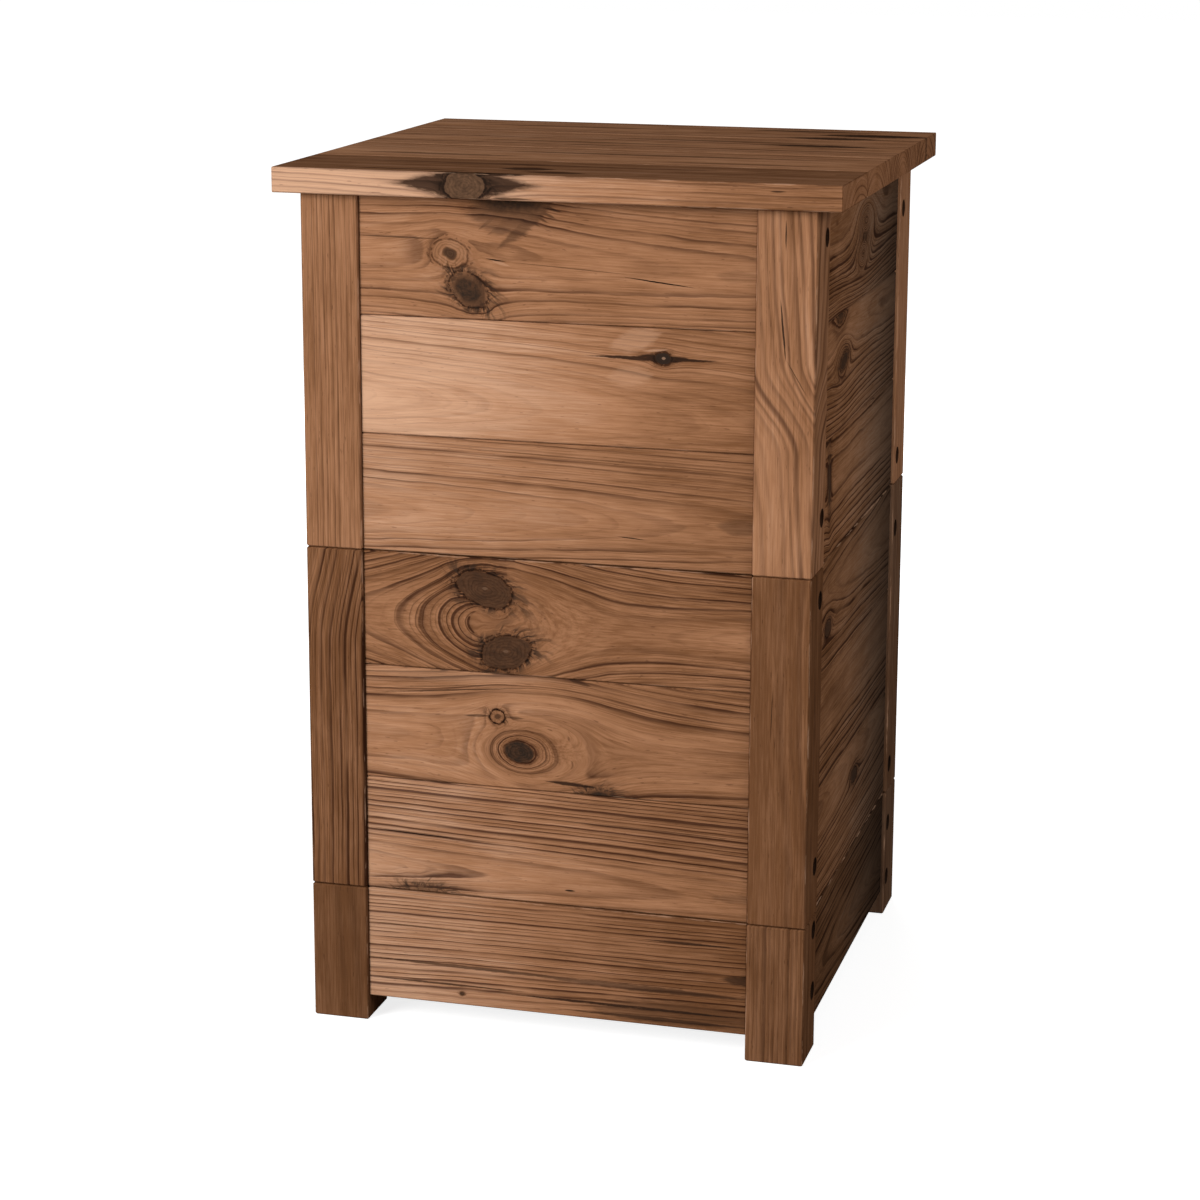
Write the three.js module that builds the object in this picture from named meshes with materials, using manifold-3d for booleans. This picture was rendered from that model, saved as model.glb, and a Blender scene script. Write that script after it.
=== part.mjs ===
// A timber wormery: a loose plank lid and two deep trays stacked on a base with four feet and a sump drawer.
// Millimetres, +Z up. The origin is on the ground, midway between the feet. The front faces -Y.
import * as THREE from "three";
import { mergeVertices } from "three/addons/utils/BufferGeometryUtils.js";
import Module from "manifold-3d";

const wasm = await Module();
wasm.setup();

// Case, over the faces of its posts
const caseWidth = 410;
const caseDepth = 410;
const postSize = 47;
const postChamfer = 1.2;
const boardThickness = 20;
const courseHeight = 94;
const coursesPerTray = 3;
const boardRecess = 3;
const boardChamfer = 1;
const footGap = 20.5;

// Joinery: stub tongues into grooved posts, and tongues along the boards' edges
const stubLength = 20;
const stubThickness = 10;
const edgeTongueHeight = 6;
const edgeTongueThickness = 6;

// Fits
const seatGap = 0.3;
const slideGap = 2;
const liftGap = 3;
const cutOverrun = 2;

// Screws through the side faces of the posts, which pin the side boards' stub tongues
const screwInset = 12;
const counterboreRadius = 7;
const counterboreDepth = 5.5;
const screwHoleRadius = 2.4;
const screwHoleDepth = 42;
const trayScrewNear = 24;
const trayScrewFar = 41;
const baseScrewNear = 12;
const baseScrewFar = 31;

// Lid
const lidThickness = 20;
const lidOverhangX = 19.5;
const lidOverhangY = 10;
const lidBoardShares = [0.235, 0.245, 0.288, 0.232];
const lidBattenWidth = 20;
const lidBattenHeight = 20;
const lidBattenChamfer = 3;

// Tray floor
const bearerWidth = 20;
const bearerRise = 20;
const bearerDrop = 10;
const bearerLead = 3;
const bearerStep = 1;
const floorThickness = 9;
const drainRadius = 8;
const drainPitch = 45;
const drainSides = 10;

// Sump drawer and what carries it
const railHeight = 20;
const runnerWidth = 12;
const runnerHeight = 20;
const sumpWall = 3;
const sumpDepth = 56;
const sumpLift = 25;
const sumpCornerRadius = 3;
const sumpRim = 3;
const pullLength = 110;
const pullHeight = 22;
const pullDepth = 12;
const pullUndercut = 7;
const pullChamfer = 2;
const drawerScrewOffset = 90;
const drawerScrewDrop = 18;
const drawerScrewRadius = 2;
const drawerScrewLength = 14;
const drawerScrewHeadRadius = 4.5;
const drawerScrewHeadHeight = 2.4;

const roundSides = 16;
const cornerSteps = 4;

// Places that follow from the sizes
const halfWidth = caseWidth / 2;
const halfDepth = caseDepth / 2;
const openHalfX = halfWidth - postSize;
const openHalfY = halfDepth - postSize;
const innerFace = boardRecess + boardThickness;
const innerHalfX = halfWidth - innerFace;
const innerHalfY = halfDepth - innerFace;
const stubStart = boardRecess + (boardThickness - stubThickness) / 2;
const trayHeight = coursesPerTray * courseHeight;
const baseTop = footGap + courseHeight;
const middleBottom = baseTop + seatGap;
const upperBottom = middleBottom + trayHeight + seatGap;
const lidBottom = upperBottom + trayHeight + seatGap;
const runnerTop = sumpLift + sumpDepth - sumpRim - seatGap;

const quarterTurn = Math.PI / 2;

// Each side of the case lies a quarter turn on from the one before it.
const sides = ["front", "right", "rear", "left"];

const wormery = new THREE.Group();

const timber = {
  front: [0x8e5b38, 0.72],
  side: [0x5e3b25, 0.75],
  post: [0x7a4c2f, 0.74],
  leg: [0x5a3824, 0.78],
  lid: [0x5f3d27, 0.7],
  inside: [0x9a6f48, 0.82],
};

function addPiece(name, geometry, [color, roughness], metalness = 0) {
  geometry.computeVertexNormals();
  const material = new THREE.MeshStandardMaterial({ color, roughness, metalness });
  const mesh = new THREE.Mesh(geometry, material);
  mesh.name = name;
  wormery.add(mesh);
}

// Cutting and joining

function solid(geometry) {
  const bare = geometry.index ? geometry.toNonIndexed() : geometry.clone();
  bare.deleteAttribute("normal");
  bare.deleteAttribute("uv");
  const merged = mergeVertices(bare);
  return new wasm.Manifold(
    new wasm.Mesh({
      numProp: 3,
      vertProperties: merged.attributes.position.array,
      triVerts: new Uint32Array(merged.index.array),
    }),
  );
}

function geometryOf(manifold) {
  const mesh = manifold.getMesh();
  const geometry = new THREE.BufferGeometry();
  geometry.setAttribute("position", new THREE.BufferAttribute(mesh.vertProperties, mesh.numProp));
  geometry.setIndex(new THREE.BufferAttribute(mesh.triVerts, 1));
  return geometry.toNonIndexed();
}

function cut(geometry, cutters) {
  const left = cutters.reduce((rest, cutter) => rest.subtract(solid(cutter)), solid(geometry));
  return geometryOf(left);
}

function join(first, ...others) {
  const whole = others.reduce((sum, other) => sum.add(solid(other)), solid(first));
  return geometryOf(whole);
}

// Basic shapes

function box([x0, x1], [y0, y1], [z0, z1]) {
  const shape = new THREE.BoxGeometry(Math.abs(x1 - x0), Math.abs(y1 - y0), Math.abs(z1 - z0));
  return shape.translate((x0 + x1) / 2, (y0 + y1) / 2, (z0 + z1) / 2);
}

function outline(points) {
  return new THREE.Shape(points.map(([x, y]) => new THREE.Vector2(x, y)));
}

// An outline in (inwards, up) carried along X, centred on x = 0.
function alongX(points, length) {
  const shape = new THREE.ExtrudeGeometry(outline(points), { depth: length, bevelEnabled: false });
  const turn = new THREE.Matrix4().makeBasis(
    new THREE.Vector3(0, 1, 0),
    new THREE.Vector3(0, 0, 1),
    new THREE.Vector3(1, 0, 0),
  );
  return shape.translate(0, 0, -length / 2).applyMatrix4(turn);
}

function cylinderAlongX(radius, [x0, x1], y, z, sides = roundSides) {
  const shape = new THREE.CylinderGeometry(radius, radius, Math.abs(x1 - x0), sides);
  return shape.rotateZ(quarterTurn).translate((x0 + x1) / 2, y, z);
}

function upright(points, bottom, top, chamfer) {
  const bevel = { bevelThickness: chamfer, bevelSize: chamfer, bevelOffset: -chamfer, bevelSegments: 1 };
  const depth = top - bottom - 2 * chamfer;
  const shape = new THREE.ExtrudeGeometry(outline(points), { depth, bevelEnabled: chamfer > 0, ...bevel });
  return shape.translate(0, 0, bottom + chamfer);
}

function roundedRectangle([x0, x1], [y0, y1], radius) {
  const centres = [
    [x1 - radius, y1 - radius],
    [x0 + radius, y1 - radius],
    [x0 + radius, y0 + radius],
    [x1 - radius, y0 + radius],
  ];
  return centres.flatMap(([x, y], corner) =>
    Array.from({ length: cornerSteps + 1 }, (_, step) => {
      const angle = (corner + step / cornerSteps) * quarterTurn;
      return [x + radius * Math.cos(angle), y + radius * Math.sin(angle)];
    }),
  );
}

// Screw holes of one unit, with the front posts' spacing turned over on the rear posts

function screwHoles({ boardBottom, boardTop, near, far }) {
  const frontHeights = [boardTop - near, boardBottom + far];
  const rearHeights = [boardTop - far, boardBottom + near];
  const holes = [];
  for (const sideX of [-1, 1]) {
    for (const sideY of [-1, 1]) {
      const y = sideY * (openHalfY + screwInset);
      const outside = sideX * (halfWidth + cutOverrun);
      for (const z of sideY < 0 ? frontHeights : rearHeights) {
        const sunk = sideX * (halfWidth - counterboreDepth);
        const end = sideX * (halfWidth - screwHoleDepth);
        holes.push(cylinderAlongX(counterboreRadius, [outside, sunk], y, z));
        holes.push(cylinderAlongX(screwHoleRadius, [outside, end], y, z));
      }
    }
  }
  return holes;
}

// Posts and legs

function post(sideX, sideY, unit) {
  const x = [sideX * openHalfX, sideX * halfWidth].sort((a, b) => a - b);
  const y = [sideY * openHalfY, sideY * halfDepth].sort((a, b) => a - b);
  const c = postChamfer;
  const corners = [
    [x[0] + c, y[0]],
    [x[1] - c, y[0]],
    [x[1], y[0] + c],
    [x[1], y[1] - c],
    [x[1] - c, y[1]],
    [x[0] + c, y[1]],
    [x[0], y[1] - c],
    [x[0], y[0] + c],
  ];
  const grooveTop = unit.top + cutOverrun;
  const sideGroove = box(
    [sideX * (halfWidth - stubStart + seatGap), sideX * (halfWidth - stubStart - stubThickness - seatGap)],
    [sideY * (openHalfY - cutOverrun), sideY * (openHalfY + stubLength + seatGap)],
    [unit.sideGrooveFrom, grooveTop],
  );
  const endGrooveFrom = sideY > 0 ? unit.backGrooveFrom : unit.frontGrooveFrom;
  const endGroove = box(
    [sideX * (openHalfX - cutOverrun), sideX * (openHalfX + stubLength + seatGap)],
    [sideY * (halfDepth - stubStart + seatGap), sideY * (halfDepth - stubStart - stubThickness - seatGap)],
    [endGrooveFrom, grooveTop],
  );
  const body = upright(corners, unit.bottom, unit.top, postChamfer);
  return cut(body, [sideGroove, endGroove, ...screwHoles(unit)]);
}

// Boards

// The board's section as [inwards, up] points, with its outer face at inwards = 0.
function boardSection(thickness, height, grooved, tongued) {
  const c = boardChamfer;
  const tongueStart = (thickness - edgeTongueThickness) / 2;
  const tongueEnd = tongueStart + edgeTongueThickness;
  const grooveDepth = edgeTongueHeight + seatGap;
  const groove = [
    [tongueStart - seatGap, 0],
    [tongueStart - seatGap, grooveDepth],
    [tongueEnd + seatGap, grooveDepth],
    [tongueEnd + seatGap, 0],
  ];
  const tongue = [
    [tongueEnd, height],
    [tongueEnd, height + edgeTongueHeight],
    [tongueStart, height + edgeTongueHeight],
    [tongueStart, height],
  ];
  return [
    [c, 0],
    ...(grooved ? groove : []),
    [thickness - c, 0],
    [thickness, c],
    [thickness, height - c],
    [thickness - c, height],
    ...(tongued ? tongue : []),
    [c, height],
    [0, height - c],
    [0, c],
  ];
}

function turnOf(side) {
  return sides.indexOf(side) * quarterTurn;
}

// A wall board on one side of the case, with a stub tongue at each end.
function wallBoard(side, bottom, height, { grooved = false, tongued = false, holes = [] }) {
  const acrossX = side === "front" || side === "rear";
  const openHalf = acrossX ? openHalfX : openHalfY;
  const reach = acrossX ? halfDepth : halfWidth;
  const shoulder = openHalf - seatGap;
  const end = openHalf + stubLength;
  const outer = -reach + boardRecess;
  const stub = -reach + stubStart;
  const tall = [bottom - cutOverrun, bottom + height + edgeTongueHeight + cutOverrun];
  const board = alongX(boardSection(boardThickness, height, grooved, tongued), 2 * end);
  const cheeks = [-1, 1].flatMap((way) => [
    box([way * shoulder, way * (end + cutOverrun)], [outer - cutOverrun, stub], tall),
    box(
      [way * shoulder, way * (end + cutOverrun)],
      [stub + stubThickness, outer + boardThickness + cutOverrun],
      tall,
    ),
  ]);
  const shaped = cut(board.translate(0, outer, bottom), cheeks).rotateZ(turnOf(side));
  return holes.length ? cut(shaped, holes) : shaped;
}

// Trays

const cornerNames = [
  ["front_left", -1, -1],
  ["front_right", 1, -1],
  ["rear_left", -1, 1],
  ["rear_right", 1, 1],
];
const courseNames = ["bottom", "middle", "top"];

function courseName(course) {
  return courseNames[course] ?? `course_${course + 1}`;
}

// Only the boards of the left and right sides are pinned by screws.
function pinned(side) {
  return side === "left" || side === "right";
}

function floorBearer(sideX, bottom) {
  const outer = innerHalfX - seatGap;
  const nested = outer - slideGap;
  const inner = outer - bearerWidth;
  const top = bottom + bearerRise;
  const foot = bottom - bearerDrop;
  const step = bottom + bearerStep;
  const section = [
    [outer, step],
    [outer, top],
    [inner, top],
    [inner, foot + bearerLead],
    [inner + bearerLead, foot],
    [nested - bearerLead, foot],
    [nested, foot + bearerLead],
    [nested, step],
  ];
  // Carried along X with its outer side towards +Y, then turned to its own side of the case.
  const length = 2 * (openHalfY - slideGap);
  return alongX(section, length).rotateZ(-sideX * quarterTurn);
}

function drainCentres(halfSpan) {
  const steps = Math.floor(halfSpan / drainPitch);
  return Array.from({ length: 2 * steps + 1 }, (_, i) => (i - steps) * drainPitch);
}

function trayFloor(bottom) {
  const low = bottom + bearerRise + seatGap;
  const high = low + floorThickness;
  const wideX = innerHalfX - seatGap;
  const wideY = innerHalfY - seatGap;
  const slimX = openHalfX - seatGap;
  const slimY = openHalfY - seatGap;
  const sheet = upright(
    [
      [-slimX, -wideY],
      [slimX, -wideY],
      [slimX, -slimY],
      [wideX, -slimY],
      [wideX, slimY],
      [slimX, slimY],
      [slimX, wideY],
      [-slimX, wideY],
      [-slimX, slimY],
      [-wideX, slimY],
      [-wideX, -slimY],
      [-slimX, -slimY],
    ],
    low,
    high,
    0,
  );
  const clearX = wideX - bearerWidth - drainRadius;
  const clearY = wideY - drainRadius;
  const drains = drainCentres(clearX).flatMap((x) =>
    drainCentres(clearY).map((y) =>
      new THREE.CylinderGeometry(drainRadius, drainRadius, floorThickness + 2 * cutOverrun, drainSides)
        .rotateX(quarterTurn)
        .translate(x, y, (low + high) / 2),
    ),
  );
  return cut(sheet, drains);
}

function addTray(prefix, bottom) {
  const unit = {
    bottom,
    top: bottom + trayHeight,
    boardBottom: bottom,
    boardTop: bottom + trayHeight,
    sideGrooveFrom: bottom - cutOverrun,
    frontGrooveFrom: bottom - cutOverrun,
    backGrooveFrom: bottom - cutOverrun,
    near: trayScrewNear,
    far: trayScrewFar,
  };
  for (const [name, sideX, sideY] of cornerNames) {
    addPiece(`${prefix}_post_${name}`, post(sideX, sideY, unit), timber.post);
  }
  for (const side of sides) {
    for (let course = 0; course < coursesPerTray; course += 1) {
      const board = wallBoard(side, bottom + course * courseHeight, courseHeight - seatGap, {
        grooved: course > 0,
        tongued: course < coursesPerTray - 1,
        holes: pinned(side) ? screwHoles(unit) : [],
      });
      const finish = side === "front" ? timber.front : timber.side;
      addPiece(`${prefix}_board_${side}_${courseName(course)}`, board, finish);
    }
  }
  addPiece(`${prefix}_floor_bearer_left`, floorBearer(-1, bottom), timber.inside);
  addPiece(`${prefix}_floor_bearer_right`, floorBearer(1, bottom), timber.inside);
  addPiece(`${prefix}_floor`, trayFloor(bottom), timber.inside);
}

// Base

function sumpRunner(sideX) {
  const outer = openHalfX - seatGap;
  const inner = outer - runnerWidth;
  const end = innerHalfY - seatGap;
  return box([sideX * inner, sideX * outer], [-end, end], [runnerTop - runnerHeight, runnerTop]);
}

function addBase() {
  const unit = {
    bottom: 0,
    top: baseTop,
    boardBottom: footGap,
    boardTop: baseTop,
    sideGrooveFrom: footGap - seatGap,
    frontGrooveFrom: footGap - seatGap,
    backGrooveFrom: baseTop - railHeight - seatGap,
    near: baseScrewNear,
    far: baseScrewFar,
  };
  for (const [name, sideX, sideY] of cornerNames) {
    addPiece(`base_leg_${name}`, post(sideX, sideY, unit), timber.leg);
  }
  for (const side of ["front", "right", "left"]) {
    const holes = pinned(side) ? screwHoles(unit) : [];
    const board = wallBoard(side, footGap, courseHeight - seatGap, { holes });
    addPiece(`base_board_${side}`, board, side === "front" ? timber.front : timber.side);
  }
  const rail = wallBoard("rear", baseTop - railHeight, railHeight - seatGap, {});
  addPiece("base_rear_rail", rail, timber.side);
  addPiece("base_sump_runner_left", sumpRunner(-1), timber.inside);
  addPiece("base_sump_runner_right", sumpRunner(1), timber.inside);
}

// Sump drawer

const sumpHalfX = openHalfX - seatGap - runnerWidth - slideGap;
const sumpFront = -innerHalfY + liftGap;
const sumpRear = innerHalfY - seatGap;
const drawerScrewHeight = sumpLift + sumpDepth - drawerScrewDrop;

function drawerScrewHoles(radius) {
  const through = sumpWall + seatGap + drawerScrewLength;
  return [-1, 1].map((way) =>
    new THREE.CylinderGeometry(radius, radius, through + cutOverrun, roundSides).translate(
      way * drawerScrewOffset,
      sumpRear - sumpWall + (through - cutOverrun) / 2,
      drawerScrewHeight,
    ),
  );
}

function sumpTray() {
  const top = sumpLift + sumpDepth;
  const outside = roundedRectangle([-sumpHalfX, sumpHalfX], [sumpFront, sumpRear], sumpCornerRadius);
  const rimHalfX = openHalfX - liftGap;
  const rim = roundedRectangle([-rimHalfX, rimHalfX], [sumpFront, sumpRear], sumpCornerRadius);
  const shell = join(upright(outside, sumpLift, top, 0), upright(rim, top - sumpRim, top, 0));
  const hollow = box(
    [-sumpHalfX + sumpWall, sumpHalfX - sumpWall],
    [sumpFront + sumpWall, sumpRear - sumpWall],
    [sumpLift + sumpWall, top + cutOverrun],
  );
  return cut(shell, [hollow, ...drawerScrewHoles(drawerScrewRadius + seatGap)]);
}

function drawerFront() {
  const outer = halfDepth - boardRecess;
  const top = baseTop - railHeight - slideGap;
  const length = 2 * (openHalfX - slideGap);
  const section = boardSection(boardThickness, top - footGap, false, false);
  const board = alongX(section, length).translate(0, -outer, footGap).rotateZ(turnOf("rear"));
  return cut(board, drawerScrewHoles(drawerScrewRadius + seatGap));
}

// A batten on the drawer's face, undercut for the fingertips, that stays under the lid's overhang.
function drawerPull() {
  const seat = -halfDepth + boardRecess - seatGap;
  const middle = (footGap + baseTop - railHeight) / 2;
  const section = [
    [0, pullUndercut],
    [0, pullHeight],
    [-pullDepth + pullChamfer, pullHeight],
    [-pullDepth, pullHeight - pullChamfer],
    [-pullDepth, 0],
  ];
  const pull = alongX(section, pullLength).translate(0, seat, middle - pullHeight / 2);
  return geometryOf(solid(pull.rotateZ(turnOf("rear"))));
}

function drawerScrew(way) {
  const headEnd = sumpRear - sumpWall - seatGap;
  const profile = [
    [0, -drawerScrewHeadHeight],
    [drawerScrewHeadRadius * 0.75, -drawerScrewHeadHeight],
    [drawerScrewHeadRadius, -drawerScrewHeadHeight / 3],
    [drawerScrewHeadRadius, 0],
    [drawerScrewRadius, 0],
    [drawerScrewRadius, drawerScrewLength - 2 * drawerScrewRadius],
    [0, drawerScrewLength],
  ];
  return new THREE.LatheGeometry(
    profile.map(([r, y]) => new THREE.Vector2(r, y)),
    roundSides,
  ).translate(way * drawerScrewOffset, headEnd, drawerScrewHeight);
}

function addSumpDrawer() {
  addPiece("sump_tray", sumpTray(), [0x2b2f2c, 0.5]);
  addPiece("sump_drawer_front", drawerFront(), timber.side);
  addPiece("sump_drawer_pull", drawerPull(), timber.side);
  addPiece("sump_drawer_screw_left", drawerScrew(-1), [0x8a8a86, 0.35], 1);
  addPiece("sump_drawer_screw_right", drawerScrew(1), [0x8a8a86, 0.35], 1);
}

// Lid

function addLid() {
  const length = caseWidth + 2 * lidOverhangX;
  const depth = caseDepth + 2 * lidOverhangY;
  let front = -depth / 2;
  lidBoardShares.forEach((share, index) => {
    const width = share * depth - seatGap;
    // The section's height runs towards the back, and its outer face is the top of the lid.
    const board = alongX(boardSection(lidThickness, width, false, false), length)
      .rotateX(-quarterTurn)
      .translate(0, front, lidBottom + lidThickness);
    addPiece(`lid_board_${index + 1}`, board, timber.lid);
    front += share * depth;
  });
  addPiece("lid_batten_left", lidBatten(-1), timber.inside);
  addPiece("lid_batten_right", lidBatten(1), timber.inside);
}

function lidBatten(sideX) {
  const outer = openHalfX - liftGap;
  const inner = outer - lidBattenWidth;
  const top = lidBottom - seatGap;
  const bottom = top - lidBattenHeight;
  const c = lidBattenChamfer;
  const section = [
    [inner, top],
    [inner, bottom + c],
    [inner + c, bottom],
    [outer - c, bottom],
    [outer, bottom + c],
    [outer, top],
  ];
  return alongX(section, 2 * (innerHalfY - liftGap)).rotateZ(-sideX * quarterTurn);
}

addBase();
addSumpDrawer();
addTray("middle_tray", middleBottom);
addTray("upper_tray", upperBottom);
addLid();

export default wormery;
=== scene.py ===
"""Dresses the packed wormery: stained softwood, screws, the sump's plastic and a pale studio."""

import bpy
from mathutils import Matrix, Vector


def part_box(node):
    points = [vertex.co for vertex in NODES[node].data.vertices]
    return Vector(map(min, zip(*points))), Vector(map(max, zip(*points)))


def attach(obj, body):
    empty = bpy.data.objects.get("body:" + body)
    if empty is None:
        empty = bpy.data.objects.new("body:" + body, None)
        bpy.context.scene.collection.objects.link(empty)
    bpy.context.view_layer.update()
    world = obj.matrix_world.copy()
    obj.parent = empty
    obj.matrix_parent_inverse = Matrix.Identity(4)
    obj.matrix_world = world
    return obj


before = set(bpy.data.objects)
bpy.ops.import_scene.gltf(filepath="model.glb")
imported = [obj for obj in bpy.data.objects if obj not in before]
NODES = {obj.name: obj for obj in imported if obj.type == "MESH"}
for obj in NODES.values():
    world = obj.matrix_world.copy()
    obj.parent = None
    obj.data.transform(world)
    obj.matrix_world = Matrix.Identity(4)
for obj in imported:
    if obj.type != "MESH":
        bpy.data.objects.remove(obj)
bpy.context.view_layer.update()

import math
from collections import namedtuple
from types import SimpleNamespace

import bmesh
import bpy
from mathutils import Matrix, Vector

bl_info = {
    "name": "Wormery Dressing",
    "version": (1, 0, 0),
    "blender": (4, 5, 0),
    "location": "3D View > Sidebar > Wormery",
    "description": "Stained softwood, screws, sump plastic and a pale studio for the stacking wormery",
    "category": "Object",
}

MM = 0.001
ORIGIN = (0, 0, 0)
WHITE = (1, 1, 1, 1)
TRAYS = ("middle_tray", "upper_tray")
COURSES = ("bottom", "middle", "top")

# The post screws and the counterbores that they sit in. The shank is a row of places and radii

BORE_DEPTH = 5.5 * MM
SCREW_CLEARANCE = 0.1 * MM
SCREW_SPOKES = 48
HEAD_HOOPS = 18
HEAD_CROWN = 0.72
RECESS_DEPTH = 1.3 * MM
ARM_HALF_WIDTH = 0.55
ARM_REACH = 2.3
SHANK = ((0, 2.2 * MM), (-26 * MM, 2.0 * MM), (-34 * MM, 0.2 * MM))

# The studio. Each lamp has its place, the point that it faces and its width, in metres

FLOOR_HALF = 14
FLOOR_PALE = (0.55, 0.55, 0.55, 1)
FLOOR_SEEN = (0.62, 0.62, 0.62, 1)
LAMPS = {
    "key": ((-1.75, -2.5, 1.5), (0, 0, 0.42), 1.7),
    "side": ((2.2, -0.9, 1.5), (0.2, 0, 0.42), 1.2),
    "back": ((-0.9, 2.7, 0.8), (0, 0, 0.38), 1.5),
}

# The camera's sensor in millimetres, its shift in frames and the point it looks at in metres

SENSOR = 36
CAMERA_SHIFT = -0.06
CAMERA_TARGET = (-0.0184, 0, 0.3786)

# Grain sizes of the plastic and the steel, in spots to the metre

DUST_SCALE = 26
PEBBLE_SCALE = 1400
SCRATCH_SCALE = 700

# Reaches of the wood's marks, in millimetres

SWELL_FADE = 12
FADE_DEPTH = 6
BARK = 1.1
# Seam start and full: painted shade along each board's long edges, in the seams between boards
SEAM_START = 1.6
SEAM_FULL = 0.2
TOPSIDE_START = 0.3
TOPSIDE_END = 2.5

# How the edges are eased

WOOD_EDGE = 0.5 * MM
PLASTIC_EDGE = 0.8 * MM
METAL_EDGE = 0.15 * MM
SHARP_ANGLE = math.radians(40)
WELD_REACH = 0.01 * MM

# How much of its light a mark on the wood leaves, in red, green and blue

TINTS = {
    "end grain": (0.55, 0.5, 0.46),
    "latewood": (0.24, 0.21, 0.22),
    "halo": (0.58, 0.5, 0.44),
    "warm core": (0.8, 0.66, 0.5),
    "bark": (0.3, 0.27, 0.27),
    "pitch": (0.2, 0.17, 0.16),
    # painted shade in the seams between boards
    "seam": (0.32, 0.28, 0.26),
}
SPLIT_COLOUR = (0.012, 0.009, 0.008, 1)
SOCKET_TYPES = {"VALUE": "NodeSocketFloat", "VECTOR": "NodeSocketVector", "RGBA": "NodeSocketColor"}

# How each wall is laid out: the way its grain runs, across it, and inwards from its face

WALL_AXES = {
    "front": ((1, 0, 0), (0, 0, 1), (0, 1, 0)),
    "right": ((0, 1, 0), (0, 0, 1), (-1, 0, 0)),
    "rear": ((-1, 0, 0), (0, 0, 1), (0, -1, 0)),
    "left": ((0, -1, 0), (0, 0, 1), (1, 0, 0)),
}
POST_AXES = ((0, 0, 1), (1, 0, 0), (0, 1, 0))
LID_AXES = ((1, 0, 0), (0, 1, 0), (0, 0, -1))
BEARER_AXES = ((0, 1, 0), (1, 0, 0), (0, 0, 1))

# How a piece was sawn from its log, in millimetres. The pith lies behind the face, and the taper
# and slant say how the rings climb and lean along the grain. Start and end are the stain's tone at
# the grain's two ends, from dark to pale; on the front wall and the lid's front edge the paler left
# ends are partly a painted highlight where the key lamp falls strongest. Shade darkens the whole
# piece, partly a deeper stain and partly painted shade where less light falls, and fade is its
# share at the end, painted shade that deepens along the piece.

Cut = namedtuple(
    "Cut",
    "pith depth taper slant ring wander seed start end shade late fine soft bend bend_at bend_reach fade",
    defaults=(-10, 40, 0.03, 0, 5, 3, 1, 0.3, 0.2, 1, 0.95, 0.6, 0, 0, 0, 30, 1),
)

# A branch that the saw has cut across, in millimetres from the middle of the piece

Knot = namedtuple(
    "Knot",
    "along across radius stretch tilt bulge core rim ringing heart rays spray softness reach lift",
    defaults=(6, 1.3, 0, 3, 0.8, 0.6, 0.3, 0.5, 0.2, 6, 0.15, 1000, 1),
)

# A hump in the rings round a branch, in millimetres: it lifts the lines aside and closes them to loops

Swell = namedtuple(
    "Swell", "along across radius stretch bulge trail level calm", defaults=(20, 1.4, 10, 1, 1, 0)
)

# A dark streak or a split along the grain, in millimetres

Streak = namedtuple(
    "Streak", "along across length height slope strength reach point", defaults=(40, 2, 0, 0.7, 1000, 2)
)

# All that is given for one piece: its cut and the marks on it. Patches are places where the
# stain took less, and topside is for streaks on the top of a board that has its edge as its face.

Look = namedtuple("Look", "cut knots streaks splits swells patches topside", defaults=(None,) + ((),) * 6)
RING_FIELDS = "pith depth taper slant ring wander seed fine soft bend bend_at bend_reach".split()

# The front wall's boards

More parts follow.
